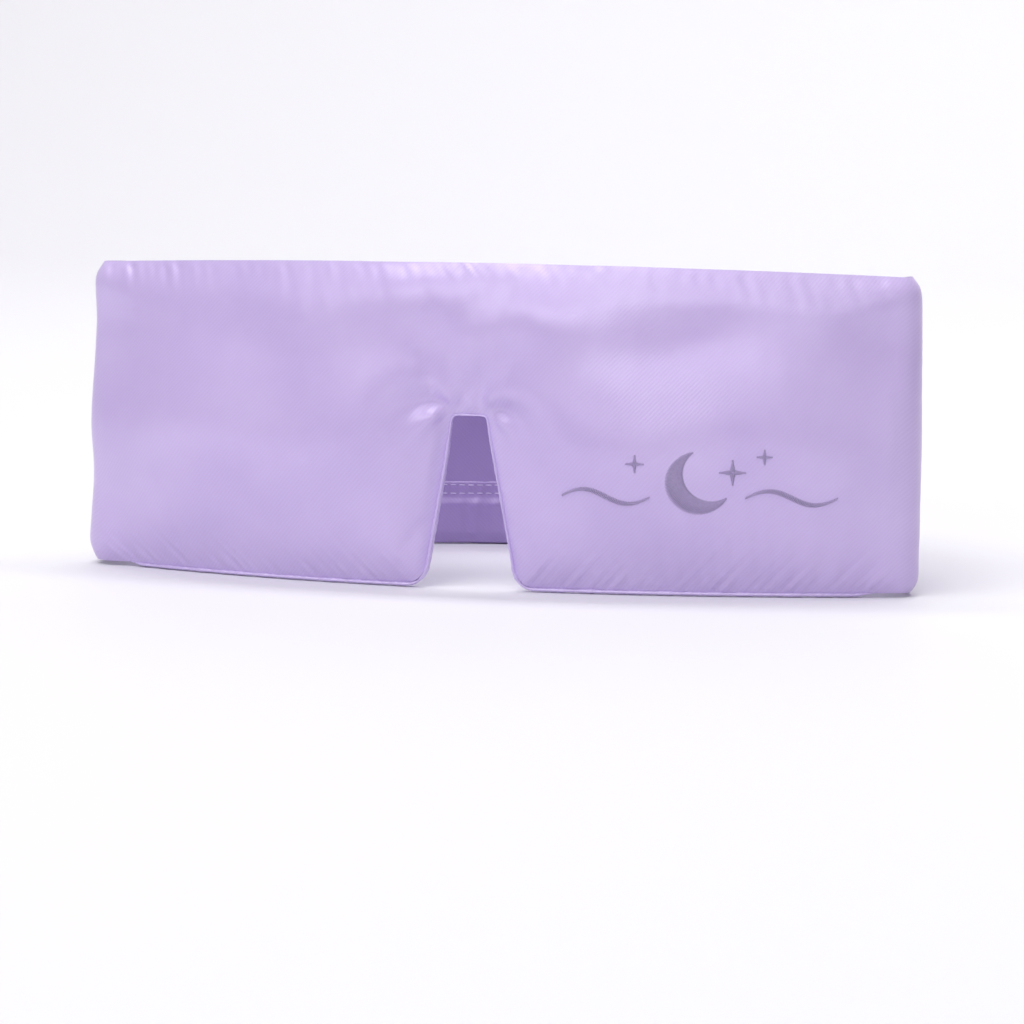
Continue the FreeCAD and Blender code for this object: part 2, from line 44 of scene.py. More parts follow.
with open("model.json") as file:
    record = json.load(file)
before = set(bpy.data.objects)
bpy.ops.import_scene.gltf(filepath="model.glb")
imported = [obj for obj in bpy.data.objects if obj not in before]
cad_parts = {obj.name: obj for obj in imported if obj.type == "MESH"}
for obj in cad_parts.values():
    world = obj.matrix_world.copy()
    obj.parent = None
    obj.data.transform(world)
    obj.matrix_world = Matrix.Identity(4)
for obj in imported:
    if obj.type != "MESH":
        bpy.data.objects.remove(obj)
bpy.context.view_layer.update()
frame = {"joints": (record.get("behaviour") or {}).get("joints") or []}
scene = bpy.context.scene


def box_mm(node):
    """A CAD node's lowest and highest corners, in millimetres."""
    return [np.array(corner) * 1000 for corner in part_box(node)]


def smooth(x, low, high):
    """0 at low, 1 at high, and smooth between."""
    t = np.clip((x - low) / (high - low), 0, 1)
    return t * t * (3 - 2 * t)


def waves(x, z, seed, lengths, slant=1.5):
    """A soft irregular wave, about -1 to 1, made of sines of the given lengths in mm."""
    rng = np.random.default_rng(seed)
    total = np.zeros(np.broadcast(x, z).shape)
    for length in lengths:
        turn = rng.uniform(-slant, slant)
        start = rng.uniform(0, 2 * math.pi)
        along = x * math.cos(turn) + z * math.sin(turn)
        total = total + np.sin(2 * math.pi * along / length + start)
    return total / math.sqrt(len(lengths))


# ---- the loop's line, seen from above ----------------------------------------------------------

joints = {j["name"]: np.array(j["pos_m"]) * 1000 for j in frame["joints"]}
binding_low, binding_high = box_mm("notch_binding")
MIDDLE_Y = (binding_low[1] + binding_high[1]) / 2
bend_at, flap_at = joints["right_bend"][:2], joints["flap_peel"][:2]
BACK_Y = (bend_at @ bend_at - flap_at @ flap_at) / (2 * (bend_at[1] - flap_at[1]))
FOLD_ROUND = 4.0
STEP = 0.1


class Side:
    """One side's line, from the front's middle to the strap's tip, with x taken as positive."""

    def __init__(self, fold, bend, tip_x):
        fold = np.array([abs(fold[0]), fold[1]])
        bend = np.array([abs(bend[0]), bend[1]])
        sag = fold[1] - MIDDLE_Y
        front = (fold[0] ** 2 + sag**2) / (2 * sag)
        half = math.asin(fold[0] / front)
        back = math.hypot(bend[0], bend[1] - BACK_Y)
        turn = math.asin(bend[0] / back)
        tip = math.asin(tip_x / (back + 2))
        last = math.pi - turn
        chord = bend - fold
        first = 2 * math.atan2(chord[1], chord[0]) - last
        wing = math.hypot(*chord) / (2 * math.sin((last - first) / 2))
        cut = FOLD_ROUND * math.tan((first - half) / 2)
        corner = first - half + cut / front + cut / wing
        runs = [
            (front * half - cut, 1 / front),
            (FOLD_ROUND * corner, 1 / FOLD_ROUND),
            (wing * (last - first) - cut, 1 / wing),
            (back * (turn - tip) + 12, 1 / back),
        ]
        self.fold = runs[0][0] + runs[1][0] / 2
        self.bend = runs[0][0] + runs[1][0] + runs[2][0]
        self.tip = self.bend + back * (turn - tip)
        self.back, self.turn = back, turn
        ends = np.cumsum([length for length, _ in runs])
        self.s = np.arange(0, ends[-1], STEP)
        curve = np.array([k for _, k in runs])[np.searchsorted(ends, self.s, side="right")]
        soft = np.ones(31) / 31
        curve = np.convolve(np.pad(curve, 15, mode="edge"), soft, mode="valid")
        self.heading = np.cumsum(curve) * STEP
        self.x = np.cumsum(np.cos(self.heading)) * STEP
        self.y = MIDDLE_Y + np.cumsum(np.sin(self.heading)) * STEP

    def at(self, s):
        """The line's x, y and heading at these lengths."""
        return [np.interp(s, self.s, line) for line in (self.x, self.y, self.heading)]

    def at_angle(self, point):
        """The length at a point of the back circle."""
        return self.bend + self.back * (self.turn - math.asin(abs(point[0]) / self.back))


right = Side(joints["right_fold"], joints["right_bend"], box_mm("flap_cover")[0][0])
left = Side(joints["left_fold"], joints["left_bend"], -box_mm("left_strap_cover")[1][0])
FLAP = right.at_angle(flap_at)
FOLD = (left.fold + right.fold) / 2


def wrap(points):
    """Flat points (length, thickness outwards, height) in mm, wrapped round the loop, in metres."""
    s, n, z = np.asarray(points, float).reshape(-1, 3).T
    out = np.empty((len(s), 3))
    for side, sign in ((right, 1), (left, -1)):
        x, y, heading = side.at(np.abs(s))
        mine = s >= 0 if sign > 0 else s < 0
        out[mine, 0] = (sign * (x + n * np.sin(heading)))[mine]
        out[mine, 1] = (y - n * np.cos(heading))[mine]
    out[:, 2] = z
    return out / 1000


def spot(s, n=0.0, z=42.5):
    """One flat point, wrapped round the loop."""
    return Vector(wrap([[s, n, z]])[0])


# ---- the flat layout ---------------------------------------------------------------------------

TOP = box_mm("front_cover")[1][2]
ROLL = box_mm("right_edge_roll")[1][2]
NOTCH_TOP = binding_high[2] - ROLL
STRAP_TOP = box_mm("flap_cover")[1][2]
WING_TOP = box_mm("right_wing_cover")[1][2]
END_TOP = WING_TOP + 2.0
HEAD_HALF = 5.0
FOOT_ROUND, TIP_ROUND = 4.5, 12.0
FOOT_HALF = binding_high[0] - 2 * FOOT_ROUND
FRONT_HALF_THICK = MIDDLE_Y - box_mm("front_cover")[0][1]
BAND_HALF = 1.9


def top_at(s):
    """The top edge's height, highest at the front's middle."""
    along = np.abs(s)
    front = TOP - (TOP - END_TOP) * (along / FOLD) ** 2
    band = END_TOP + (STRAP_TOP - END_TOP) * smooth(along, FOLD, right.bend - 8)
    return np.where(along < FOLD, front, band)


def rounded(a, b, radius):
    """Pulls a square corner, with a and b measured in from its two sides, into a round one."""
    p, q = np.clip(1 - a / radius, 0, 1), np.clip(1 - b / radius, 0, 1)
    move_a = radius * (p - p * np.sqrt(1 - q * q / 2))
    move_b = radius * (q - q * np.sqrt(1 - p * p / 2))
    return a + move_a, b + move_b


LOW_ROWS, HIGH_ROWS = 19, 17
ROWS = LOW_ROWS + HIGH_ROWS
front_columns = np.arange(-47, 48) * 2.5


def band_columns(side):
    """The grid's lengths from the front's last column to a strap's tip."""
    first = front_columns[-1]
    near = np.arange(first + 2.5, side.fold + 14, 2.2)
    count = int(round((side.tip - near[-1]) / 3.6))
    return np.concatenate([near, np.linspace(near[-1], side.tip, count + 1)[1:]])


columns = np.concatenate([-band_columns(left)[::-1], front_columns, band_columns(right)])
u, row = np.meshgrid(columns, np.arange(ROWS + 1), indexing="ij")
low_edge = ROLL * (1 - smooth(np.abs(u), FOLD - 1, FOLD + 6)) + 0.2
share_low, share_high = row / LOW_ROWS, (row - LOW_ROWS) / HIGH_ROWS
flat_z = np.where(
    row <= LOW_ROWS,
    low_edge + (NOTCH_TOP - low_edge) * share_low,
    NOTCH_TOP + (top_at(u) - NOTCH_TOP) * share_high,
)
slant = FOOT_HALF + (HEAD_HALF - FOOT_HALF) * np.clip(flat_z / NOTCH_TOP, 0, 1)
fade = np.clip((FOLD - np.abs(u)) / (FOLD - HEAD_HALF), 0, 1)
widen = np.where((row < LOW_ROWS) & (np.abs(u) > HEAD_HALF - 0.1), (slant - HEAD_HALF) * fade, 0)
flat_s = np.sign(u) * (np.abs(u) + widen)

# round the lobes' feet and the two free tips
in_s, in_z = rounded(np.abs(flat_s) - slant, flat_z - low_edge, FOOT_ROUND)
foot = (row < LOW_ROWS) & (np.abs(u) > HEAD_HALF - 0.1) & (np.abs(u) < 40)
flat_s = np.where(foot, np.sign(u) * (in_s + slant), flat_s)
flat_z = np.where(foot, in_z + low_edge, flat_z)
for side, sign in ((right, 1), (left, -1)):
    end = u * sign > side.tip - 2 * TIP_ROUND
    for flip in (False, True):
        height = top_at(u) - flat_z if flip else flat_z - low_edge
        in_s, in_z = rounded(side.tip - flat_s * sign, height, TIP_ROUND)
        flat_s = np.where(end, sign * (side.tip - in_s), flat_s)
        flat_z = np.where(end, top_at(u) - in_z if flip else in_z + low_edge, flat_z)

in_notch = (np.abs(u) < HEAD_HALF - 0.1) & (row < LOW_ROWS)
edge = (row == 0) | (row == ROWS) | (u == columns[0]) | (u == columns[-1])
edge |= (np.abs(np.abs(u) - HEAD_HALF) < 0.1) & (row <= LOW_ROWS)
edge |= (np.abs(u) < HEAD_HALF + 0.1) & (row == LOW_ROWS)


def edge_distance(s, z):
    """How far a flat point is from the nearest seam, in mm."""
    along = np.abs(s)
    slope = (FOOT_HALF - HEAD_HALF) / NOTCH_TOP
    side = (along - (FOOT_HALF - slope * z)) / math.hypot(1, slope)
    over = np.hypot(np.maximum(along - HEAD_HALF, 0), np.maximum(z - NOTCH_TOP, 0))
    notch = np.where(z < NOTCH_TOP, side, over)
    ends = np.where(s > 0, right.tip - s, left.tip + s)
    return np.maximum(np.minimum.reduce([notch, top_at(s) - z, z - ROLL, ends]), 0)


# ---- blow the flat layout up -------------------------------------------------------------------

number = np.full(u.shape, -1)
outer_keep = ~in_notch
number[outer_keep] = np.arange(outer_keep.sum())
inner = number.copy()
inside = outer_keep & ~edge
inner[inside] = outer_keep.sum() + np.arange(inside.sum())
gap = edge_distance(flat_s, flat_z)
on_front = 1 - smooth(np.abs(flat_s), FOLD - 6, FOLD + 14)
soft = 3.0 + 8.0 * (1 - smooth(np.abs(flat_s), FOLD - 4, FOLD + 34))
profile = np.sqrt(np.clip(1 - (1 - np.minimum(gap / soft, 1)) ** 2, 0, 1))
at_fold = np.exp(-(((np.abs(flat_s) - FOLD) / 9.0) ** 2))
outer_thick = (BAND_HALF + 0.5 * on_front + 0.9 * at_fold) * profile
inner_thick = (BAND_HALF + 0.3 * on_front) * profile
flat_points = np.concatenate(
    [
        np.stack([flat_s, outer_thick, flat_z], -1)[outer_keep],
        np.stack([flat_s, -inner_thick, flat_z], -1)[inside],
    ]
)
quads, zones = [], []
LINING = 10
CUTS = [
    -(left.bend + 34),
    -(left.bend - 30),
    -(FOLD - 14),
    FOLD - 14,
    right.bend - 30,
    (right.bend + FLAP) / 2,
]
for i in range(len(columns) - 1):
    middle = (columns[i] + columns[i + 1]) / 2
    zone = sum(middle > cut for cut in CUTS)
    for j in range(ROWS):
        corners = [(i, j), (i + 1, j), (i + 1, j + 1), (i, j + 1)]
        if abs(middle) < HEAD_HALF and j < LOW_ROWS:
            continue
        quads.append([number[c] for c in corners])
        zones.append(zone)
        quads.append([inner[c] for c in reversed(corners)])
        zones.append(zone + LINING)

# the cloth is simulated at this scale, and mirrored so that its faces look outwards
SCALE = 0.01
MIRROR = np.array([1, -1, 1])
mesh = bpy.data.meshes.new("flat")
mesh.from_pydata((flat_points * MIRROR * SCALE).tolist(), [], quads)
mesh.polygons.foreach_set("material_index", zones)
uv = mesh.uv_layers.new(name="flat")
loop_vertex = np.empty(len(mesh.loops), int)
mesh.loops.foreach_get("vertex_index", loop_vertex)
uv.data.foreach_set("uv", flat_points[loop_vertex][:, [0, 2]].ravel())
seam = set(number[edge & outer_keep].tolist())
crease = mesh.attributes.new("crease_edge", "FLOAT", "EDGE")
firm = [1.0 if set(e.vertices) <= seam else 0.0 for e in mesh.edges]
crease.data.foreach_set("value", firm)
cloth = bpy.data.objects.new("flat", mesh)
scene.collection.objects.link(cloth)

hold = cloth.vertex_groups.new(name="hold")
base = np.abs(flat_points[:, 0])
for v in range(len(flat_points)):
    weight = 1.0 if v in seam else float(smooth(base[v], FOLD - 1, FOLD + 10))
    if weight > 0:
        hold.add([v], weight, "REPLACE")
modifier = cloth.modifiers.new("cloth", "CLOTH")
settings = modifier.settings
settings.vertex_group_mass = "hold"
settings.effector_weights.gravity = 0
settings.quality = 6
settings.mass = 0.15
settings.tension_stiffness = settings.compression_stiffness = 12
settings.shear_stiffness = 4
settings.bending_stiffness = 0.08
settings.use_pressure = True
settings.uniform_pressure_force = 3.1
settings.shrink_min = settings.shrink_max = -0.014
modifier.collision_settings.use_collision = False
FRAMES = 36
scene.frame_start, scene.frame_end = 1, FRAMES
modifier.point_cache.frame_start, modifier.point_cache.frame_end = 1, FRAMES
for number_of_frame in range(1, FRAMES + 1):
    scene.frame_set(number_of_frame)
graph = bpy.context.evaluated_depsgraph_get()
blown = bpy.data.meshes.new_from_object(cloth.evaluated_get(graph))
result = np.empty(len(blown.vertices) * 3)
blown.vertices.foreach_get("co", result)
result = result.reshape(-1, 3) * MIRROR / SCALE
bpy.data.objects.remove(cloth)

# the simulation's ripples along the top edge are evened out
kernel = np.array([1, 2, 3, 4, 3, 2, 1]) / 16
for grid in (number, inner):
    for j in range(LOW_ROWS + 3, ROWS):
        line = result[grid[:, j], 1]
        even = np.convolve(np.pad(line, 3, mode="edge"), kernel, mode="valid")
        share = 0.85 * smooth(j, LOW_ROWS + 2, LOW_ROWS + 9)
        result[grid[:, j], 1] = line + share * (even - line)

# the padding thins towards the folds
room = 3.1 + 6.2 * smooth(FOLD - np.abs(result[:, 0]), -2, 44)
result[:, 1] /= (1 + (np.abs(result[:, 1]) / room) ** 4) ** 0.25

# ---- the fine cloth ----------------------------------------------------------------------------

blown.vertices.foreach_set("co", result.ravel())
fine_object = bpy.data.objects.new("fine", blown)
scene.collection.objects.link(fine_object)
finer = fine_object.modifiers.new("finer", "SUBSURF")
finer.levels = finer.render_levels = 2
graph = bpy.context.evaluated_depsgraph_get()
fine = bpy.data.meshes.new_from_object(fine_object.evaluated_get(graph))
bpy.data.objects.remove(fine_object)
points = np.empty(len(fine.vertices) * 3)
fine.vertices.foreach_get("co", points)
points = points.reshape(-1, 3)
faces = np.empty(len(fine.loops), int)
fine.loops.foreach_get("vertex_index", faces)
faces = faces.reshape(-1, 4)
zone_of = np.empty(len(faces), int)
fine.polygons.foreach_get("material_index", zone_of)
loop_uv = np.empty(len(fine.loops) * 2)
fine.uv_layers["flat"].uv.foreach_get("vector", loop_uv)
flat = np.empty((len(points), 2))
flat[faces.ravel()] = loop_uv.reshape(-1, 2)

# ---- creases that the simulation is too coarse for ---------------------------------------------

is_outer = zone_of < LINING
s_flat, z_flat = flat[:, 0], flat[:, 1]
from_seam = edge_distance(s_flat, z_flat)
is_upper_cloth = np.zeros(len(points))
is_upper_cloth[faces[is_outer].ravel()] = 1.0
in_front = 1 - smooth(np.abs(s_flat), FOLD - 8, FOLD + 4)
slope = (FOOT_HALF - HEAD_HALF) / NOTCH_TOP
beside = np.abs(s_flat) - (FOOT_HALF - slope * np.minimum(z_flat, NOTCH_TOP))
lift = np.zeros(len(points))

# small slanted puckers along the lower seams
low = np.exp(-np.maximum(z_flat - ROLL - 1, 0) / 4.5) * smooth(z_flat, ROLL + 0.2, ROLL + 2.2)
patch = 0.35 + 0.65 * smooth(waves(s_flat, 0, 5, (61, 37, 23), 0.2), -0.5, 0.9)
lean = s_flat - 0.9 * np.sign(s_flat) * z_flat
lift += 0.34 * low * patch * in_front * waves(lean, 0, 11, (3.1, 4.4, 6.3), 0.1)
# softer ones along the top seam, stronger near the left end
high = np.exp(-np.maximum(top_at(s_flat) - z_flat - 1, 0) / 4.0)
high = high * smooth(top_at(s_flat) - z_flat, 0.2, 2.2)
near_left = 0.35 + 0.9 * smooth(-s_flat, 80, 100)
lean = s_flat + 0.4 * z_flat
lift += 0.22 * high * near_left * in_front * waves(lean, 0, 21, (4.2, 6.1, 9.0), 0.1)
# folds that pull across from both sides of the notch
pull = np.exp(-np.maximum(beside, 0) / 17) * smooth(beside, 0.3, 4.5) * (z_flat < NOTCH_TOP + 6)
pull = pull * smooth(z_flat, 4, 16) * (1 - smooth(z_flat, NOTCH_TOP - 8, NOTCH_TOP + 6))
lift += 1.5 * pull * waves(0.2 * s_flat, z_flat, 31, (18, 13, 9), 0.15)
# creases that fan out from the notch's two upper corners
for sign in (1, -1):
    along, up = sign * s_flat - HEAD_HALF, z_flat - NOTCH_TOP
    away, angle = np.hypot(along, up), np.arctan2(up, along)
    fan = np.exp(-away / 15) * smooth(away, 1.2, 6.0) * smooth(angle, -1.1, -0.2)
    fan = fan * (1 - smooth(angle, 2.2, 3.0))
    lift += 1.5 * fan * np.cos(3.8 * angle + 0.7 * sign + 0.25 * away)
# tiny gathers on the notch's edges
gather = np.exp(-from_seam / 1.6) * np.exp(-np.maximum(beside, 0) / 3) * (np.abs(s_flat) < 26)
ripple = waves(s_flat + z_flat, 0, 41, (2.2, 3.1), 0.1)
lift += 0.14 * gather * smooth(from_seam, 0.1, 0.8) * ripple
# slow unevenness of the padding, and the soft brow line above the eyes
uneven = waves(0.45 * s_flat, z_flat, 51, (34, 47, 26), 0.35)
lift += 0.55 * in_front * smooth(from_seam, 4, 20) * uneven
lobes = in_front * smooth(np.abs(s_flat), 12, 38) * smooth(from_seam, 3, 14)
level = z_flat - 0.02 * np.abs(s_flat) + 2.0 * waves(s_flat, 0, 55, (83, 51), 0.1)
swell = 3.0 * np.exp(-(((level - 40) / 15) ** 2)) - 1.1 * np.exp(-(((level - 70) / 9) ** 2))
lift += lobes * swell * is_upper_cloth
# the bands' seams pucker a little too
band = (1 - in_front) * np.exp(-from_seam / 3.5) * smooth(from_seam, 0.2, 1.5)
lift += 0.16 * band * waves(s_flat + 0.3 * z_flat, 0, 61, (4.1, 5.7, 7.9), 0.15)
uneven = waves(s_flat, 0.5 * z_flat, 71, (17, 29, 41), 0.5)
lift += 0.12 * (1 - in_front) * smooth(from_seam, 2, 9) * uneven


def normals_of(co, quads):
    """Vertex normals of a quad mesh, weighted by area."""
    across = np.cross(co[quads[:, 2]] - co[quads[:, 0]], co[quads[:, 3]] - co[quads[:, 1]])
    total = np.zeros_like(co)
    for k in range(4):
        np.add.at(total, quads[:, k], across)
    return total / np.maximum(np.linalg.norm(total, axis=1, keepdims=True), 1e-12)


points -= lift[:, None] * normals_of(points, faces)
# the left end's lower corner stands out a little
flare = smooth(-s_flat, FOLD - 14, FOLD) * (1 - smooth(-s_flat, FOLD + 4, FOLD + 26))
points[:, 1] += 2.6 * flare * (1 - smooth(z_flat, 2, 34))
world = wrap(points)


def piece(name, co, quads, where, material, flat_uv=None, normals=None):
    """A new mesh of the chosen faces, with the flat layout as its UVs and any normals given."""
    used, index = np.unique(quads[where].ravel(), return_inverse=True)
    made = bpy.data.meshes.new(name)
    made.from_pydata(co[used].tolist(), [], index.reshape(-1, quads.shape[1]).tolist())
    made.polygons.foreach_set("use_smooth", [True] * len(made.polygons))
    if flat_uv is not None:
        layer = made.uv_layers.new(name="flat")
        layer.uv.foreach_set("vector", flat_uv[used][index].ravel())
    made.materials.append(material)
    if normals is not None:
        made.normals_split_custom_set_from_vertices(normals[used].tolist())
    made.update()
    obj = bpy.data.objects.new(name, made)
    scene.collection.objects.link(obj)
    return obj


# ---- materials ---------------------------------------------------------------------------------


def linear(r, g, b):
    """A colour given in 0 to 255 steps, as the shader wants it."""
    shares = [c / 255 for c in (r, g, b)]
    return tuple(c / 12.92 if c < 0.0404 else ((c + 0.055) / 1.055) ** 2.4 for c in shares) + (1,)


def satin(name, light, dark, rough=0.34, pitch=0.9, depth=0.00004, slant=0.75, sheen=0.3):
    """Woven satin: a fine diagonal twill, soft changes of shade and a broad gloss."""
    mat = bpy.data.materials.new(name)
    mat.use_nodes = True
    nodes, links = mat.node_tree.nodes, mat.node_tree.links
    shader = nodes["Principled BSDF"]
    shader.inputs["Sheen Weight"].default_value = sheen
    shader.inputs["Sheen Roughness"].default_value = 0.45
    shader.inputs["Sheen Tint"].default_value = (0.93, 0.88, 1.0, 1)
    shader.inputs["Specular IOR Level"].default_value = 0.95
    shader.inputs["Anisotropic"].default_value = 0.35
    shader.inputs["Metallic"].default_value = 0.08
    where = nodes.new("ShaderNodeUVMap")
    where.uv_map = "flat"
    turn = nodes.new("ShaderNodeMapping")
    turn.inputs["Rotation"].default_value = (0, 0, slant)
    links.new(where.outputs["UV"], turn.inputs["Vector"])
    twill = nodes.new("ShaderNodeTexWave")
    twill.inputs["Scale"].default_value = 2 * math.pi / (20 * pitch)
    twill.inputs["Distortion"].default_value = 0.6
    twill.inputs["Detail Scale"].default_value = 0.4
    links.new(turn.outputs["Vector"], twill.inputs["Vector"])
    cloud = nodes.new("ShaderNodeTexNoise")
    cloud.inputs["Scale"].default_value = 0.035
    cloud.inputs["Detail"].default_value = 3
    links.new(where.outputs["UV"], cloud.inputs["Vector"])
    grain = nodes.new("ShaderNodeTexNoise")
    grain.inputs["Scale"].default_value = 1.6
    grain.inputs["Detail"].default_value = 2
    links.new(where.outputs["UV"], grain.inputs["Vector"])
    shade = nodes.new("ShaderNodeMix")
    shade.data_type = "RGBA"
    shade.inputs[6].default_value = linear(*dark)
    shade.inputs[7].default_value = linear(*light)
    ramp = nodes.new("ShaderNodeMapRange")
    ramp.inputs["From Min"].default_value = 0.3
    ramp.inputs["From Max"].default_value = 0.7
    links.new(cloud.outputs["Fac"], ramp.inputs["Value"])
    links.new(ramp.outputs["Result"], shade.inputs[0])
    weave = nodes.new("ShaderNodeMix")
    weave.data_type = "RGBA"
    weave.blend_type = "MULTIPLY"
    weave.inputs[0].default_value = 0.05
    links.new(shade.outputs[2], weave.inputs[6])
    links.new(twill.outputs["Color"], weave.inputs[7])
    links.new(weave.outputs[2], shader.inputs["Base Color"])
    gloss = nodes.new("ShaderNodeMapRange")
    gloss.inputs["To Min"].default_value = rough - 0.05
    gloss.inputs["To Max"].default_value = rough + 0.07
    links.new(grain.outputs["Fac"], gloss.inputs["Value"])
    links.new(gloss.outputs["Result"], shader.inputs["Roughness"])
    bump = nodes.new("ShaderNodeBump")
    bump.inputs["Strength"].default_value = 0.36
    bump.inputs["Distance"].default_value = depth
    links.new(twill.outputs["Fac"], bump.inputs["Height"])
    links.new(bump.outputs["Normal"], shader.inputs["Normal"])
    return mat


satin_cloth = satin("satin", (207, 187, 236), (198, 177, 229))
# the lining and the casings are coloured darker than the cover: painted shade for the shaded inside
# of the loop and behind the notch
shade_darkened_lining_cloth = satin("lining_satin", (176, 152, 210), (165, 141, 201), rough=0.42)
# the rolled edge is coloured lighter than the cover: a painted highlight where the narrow roll
# catches the light
light_painted_rolled_cloth = satin("rolled_satin_painted_highlight", (212, 194, 241), (203, 184, 234), rough=0.38)

# ---- covers and linings ------------------------------------------------------------------------

PLACES = ["left_strap_end", "left_strap", "left_side", "front", "right_side", "right_strap", "flap"]
REPLACES = {
    "left_strap_end": ("left_strap_{}", "left_strap_padding"),
    "left_strap": ("left_strap_fold_padding",),
    "left_side": ("left_wing_{}", "left_wing_padding", "left_wing_fold_padding"),
    "front": ("front_{}", "blackout_layer", "left_eye_pad", "right_eye_pad", "brow_pad"),
    "right_side": ("right_wing_{}", "right_wing_padding", "right_wing_fold_padding"),
    "right_strap": ("right_strap_{}", "right_strap_padding", "right_strap_fold_padding"),
    "flap": ("flap_{}", "flap_padding", "flap_fold_padding"),
}


# spans before and after each bend, clear of the casings and the hook tape, which ride on one body
# without bending
BEND_BEFORE, BEND_AFTER = 15.0, 2.2
# a fold's span reaches past the front's own edge, so that the two would not part
FOLD_BEFORE, FOLD_AFTER = 6.0, 11.0
PEEL_BEFORE, PEEL_AFTER = 3.0, 8.0


ACROSS = {
    "left_strap": ("left_wing", "left_strap", -1, left.bend, BEND_BEFORE, BEND_AFTER),
    "left_side": ("front", "left_wing", -1, left.fold, FOLD_BEFORE, FOLD_AFTER),
    "right_side": ("front", "right_wing", 1, right.fold, FOLD_BEFORE, FOLD_AFTER),
    "right_strap": ("right_wing", "right_strap", 1, right.bend, BEND_BEFORE, BEND_AFTER),
    "flap": ("right_strap", "flap", 1, FLAP, PEEL_BEFORE, PEEL_AFTER),
}


def join_across(obj, place):
    """Makes a piece follow its body; a piece that spans a joint only has its placing baked into its
    mesh.
    """
    if place in ACROSS:
        near, far, sign, joint, before, after = ACROSS[place]
        spot(sign * (joint - before))
        spot(sign * (joint + after))
        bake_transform(obj)
    else:
        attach(obj, "front" if place == "front" else "left_strap")


for layer, chosen, offset, mat, slot in (
    ("cover", is_outer, 0, satin_cloth, "satin"),
    ("lining", ~is_outer, LINING, shade_darkened_lining_cloth, "lining_satin"),
):
    normals = normals_of(world, faces[chosen])
    for z, place in enumerate(PLACES):
        where = zone_of == z + offset
        obj = piece(f"{place}_{layer}_cloth", world, faces, where, mat, flat, normals)
        nodes = [n.format(layer) for n in REPLACES[place]]
        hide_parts(*(nodes if layer == "cover" else [n for n in nodes if "lining" in n]))
        join_across(obj, place)

# ---- finishes for the small pieces -------------------------------------------------------------


def finish_of(name, light, dark, rough, grain, depth, sheen=0.0):
    """A small-scale finish in two shades, with its grain in mm standing up from the surface."""
    mat = bpy.data.materials.new(name)
    mat.use_nodes = True
    nodes, links = mat.node_tree.nodes, mat.node_tree.links
    shader = nodes["Principled BSDF"]
    shader.inputs["Sheen Weight"].default_value = sheen
    shader.inputs["Roughness"].default_value = rough
    where = nodes.new("ShaderNodeTexCoord")
    pattern = nodes.new("ShaderNodeTexNoise")
    pattern.inputs["Scale"].default_value = 1000 / grain
    pattern.inputs["Detail"].default_value = 3
    links.new(where.outputs["Object"], pattern.inputs["Vector"])
    shade = nodes.new("ShaderNodeMix")
    shade.data_type = "RGBA"
    shade.inputs[6].default_value = linear(*dark)
    shade.inputs[7].default_value = linear(*light)
    links.new(pattern.outputs["Fac"], shade.inputs[0])
    links.new(shade.outputs[2], shader.inputs["Base Color"])
    bump = nodes.new("ShaderNodeBump")
    bump.inputs["Distance"].default_value = depth
    links.new(pattern.outputs["Fac"], bump.inputs["Height"])
    links.new(bump.outputs["Normal"], shader.inputs["Normal"])
    return mat


thread = finish_of("sewing_thread", (230, 219, 248), (211, 196, 237), 0.38, 0.5, 0.00002, 0.2)
floss = finish_of("embroidery_thread", (176, 161, 201), (150, 134, 178), 0.34, 0.6, 0.00003, 0.3)
hooks = finish_of("hook_tape", (172, 152, 204), (150, 130, 184), 0.5, 0.9, 0.0004)
loops = finish_of("loop_tape", (190, 172, 220), (166, 146, 200), 0.8, 0.7, 0.0003, 0.6)
ribbon = finish_of("label_satin", (244, 241, 248), (232, 228, 240), 0.42, 0.8, 0.00003, 0.2)


def solid(name, co, quads, material, flat_uv=None):
    """A closed piece from flat points, wrapped round the loop, with its faces turned outwards."""
    at, quads = wrap(co), np.array(quads)
    a, b, c, d = (at[quads[:, k]] for k in range(4))
    volume = np.sum(np.cross(b - a, c - a) * a) + np.sum(np.cross(c - a, d - a) * a)
    quads = quads if volume > 0 else quads[:, ::-1]
    return piece(name, at, quads, slice(None), material, flat_uv)


def slab(name, s, z, face, back, material):
    """A closed thin slab over a grid of lengths and heights. face and back give its two sides."""
    ss, zz = np.meshgrid(s, z, indexing="ij")
    count = ss.size
    rows, cols = ss.shape
    both = [np.stack([ss, side(ss, zz), zz], -1).reshape(-1, 3) for side in (face, back)]
    co = np.concatenate(both)
    at = np.arange(count).reshape(rows, cols)
    grid = np.stack([at[:-1, :-1], at[1:, :-1], at[1:, 1:], at[:-1, 1:]], -1).reshape(-1, 4)
    rim = np.concatenate([at[:, 0], at[-1, 1:], at[-2::-1, -1], at[0, -2:0:-1]])
    after = np.roll(rim, -1)
    sides = np.stack([rim, rim + count, after + count, after], -1)
    quads = np.concatenate([grid, grid[:, ::-1] + count, sides])
    inward = np.mean(face(ss, zz) - back(ss, zz)) < 0
    quads = quads[:, ::-1] if inward else quads
    return solid(name, co, quads, material, co[:, [0, 2]])


